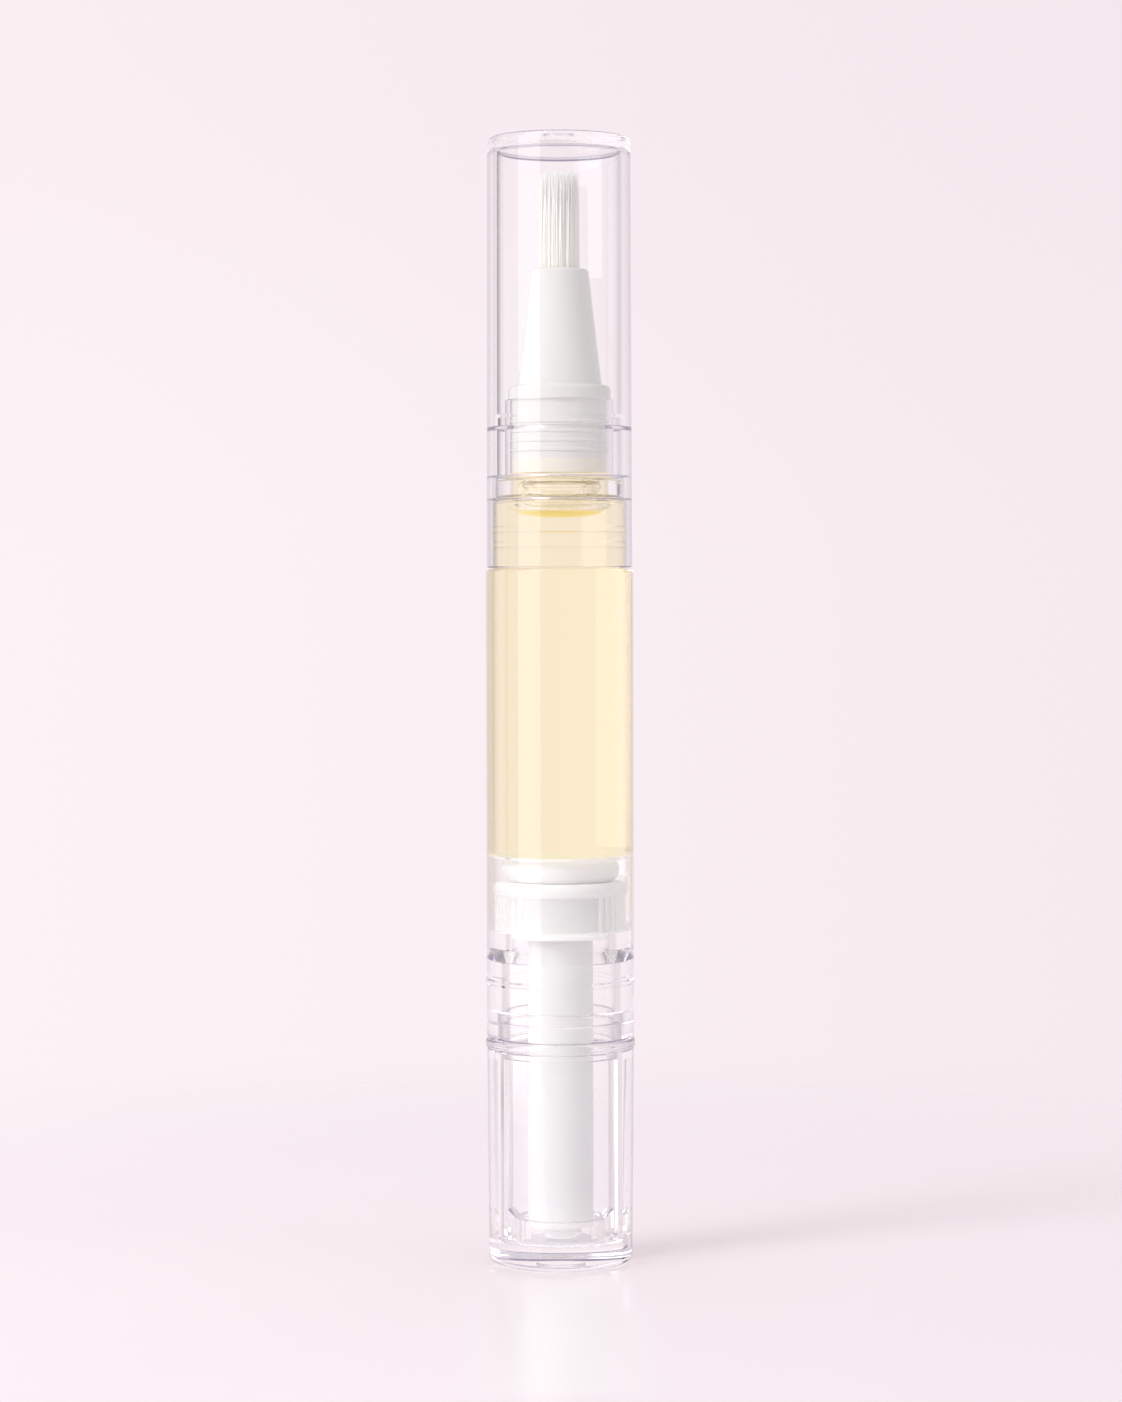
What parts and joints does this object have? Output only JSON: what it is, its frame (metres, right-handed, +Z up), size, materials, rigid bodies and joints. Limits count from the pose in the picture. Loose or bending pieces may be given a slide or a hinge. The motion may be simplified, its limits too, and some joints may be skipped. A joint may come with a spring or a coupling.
{
  "type": "twist-up cuticle oil pen with brush",
  "caption": "Clear twist pen for cuticle oil: pull-off cap, brush tip, oil barrel with piston, turning knob.",
  "frame": {"origin": "centre of the knob's foot, on the surface that the pen stands on", "axes": "+Z up along the pen's axis from the knob to the cap, -Y towards the viewer of the picture, +X to the right"},
  "size_m": [0.018, 0.018, 0.1351],
  "materials": {
    "clear_knob": "clear, polished, thick-walled moulding",
    "clear_collar": "clear, polished, thick-walled moulding",
    "clear_barrel": "clear, polished, thick-walled moulding",
    "clear_cap": "clear, polished, thick-walled moulding",
    "white_drive": "satin white moulding",
    "natural_insert": "satin white moulding",
    "piston_white": "satin white moulding",
    "cup_soft": "soft, slightly see-through seal",
    "white_rod": "satin white moulding",
    "white_nozzle": "satin white moulding",
    "natural_seat": "satin white moulding",
    "natural_tube": "satin white moulding",
    "nylon_bristle": "soft, fine, pale nylon filaments",
    "cuticle_oil": "clear, pale golden oil"
  },
  "bodies": {
    "barrel": {"barrel": "clear_barrel", "oil": "cuticle_oil", "nozzle": "white_nozzle", "brush_seat": "natural_seat", "feed_tube": "natural_tube", "brush_bristles": "nylon_bristle"},
    "cap": {"cap": "clear_cap"},
    "knob": {"knob": "clear_knob", "knob_collar": "clear_collar", "drive_tube": "white_drive", "thread_insert": "natural_insert"},
    "piston": {"piston_body": "piston_white", "piston_cup": "cup_soft", "piston_rod": "white_rod"}
  },
  "joints": [
    {"name": "cap_pull", "type": "slide", "parent": "barrel", "child": "cap", "axis": [0, 0, 1], "range_m": [0, 0.055]},
    {"name": "knob_twist", "type": "hinge", "parent": "barrel", "child": "knob", "pos_m": [0, 0, 0.0272], "axis": [0, 0, 1], "range_deg": [0, 5400]},
    {"name": "piston_rise", "type": "slide", "parent": "barrel", "child": "piston", "axis": [0, 0, 1], "range_m": [0, 0.0375], "deforming": ["oil"]}
  ],
  "couplings": [
    {"joint": "piston_rise", "follows": "knob_twist", "m_per_rad": 0.00039789}
  ]
}
